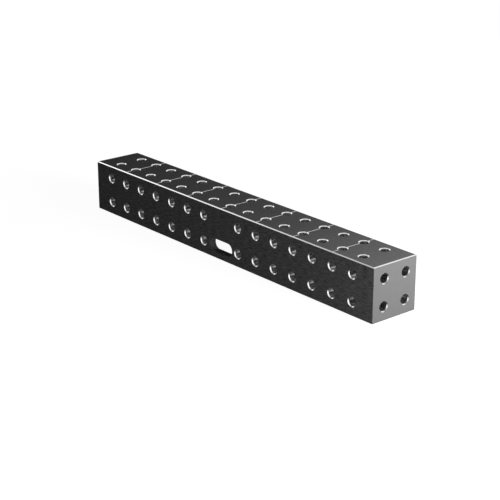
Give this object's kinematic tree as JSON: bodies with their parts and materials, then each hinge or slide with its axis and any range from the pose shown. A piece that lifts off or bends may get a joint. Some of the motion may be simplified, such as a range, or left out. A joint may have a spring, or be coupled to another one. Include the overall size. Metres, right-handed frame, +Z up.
{
  "type": "welding table block",
  "caption": "Long square block, open underneath, with a grid of countersunk clamping holes in its top, sides and ends and a hand slot through both sides.",
  "frame": {"origin": "middle of the underside, on the plane that the block stands on", "axes": "+X along the block towards the end seen in the picture, -Y out of the front side face, +Z up out of the top face"},
  "size_m": [0.8, 0.1, 0.1],
  "materials": {
    "nitrided_steel": "ground, then darkened by nitriding, with a satin sheen and brighter chamfers"
  },
  "bodies": {
    "root": {"block": "nitrided_steel"}
  },
  "joints": []
}
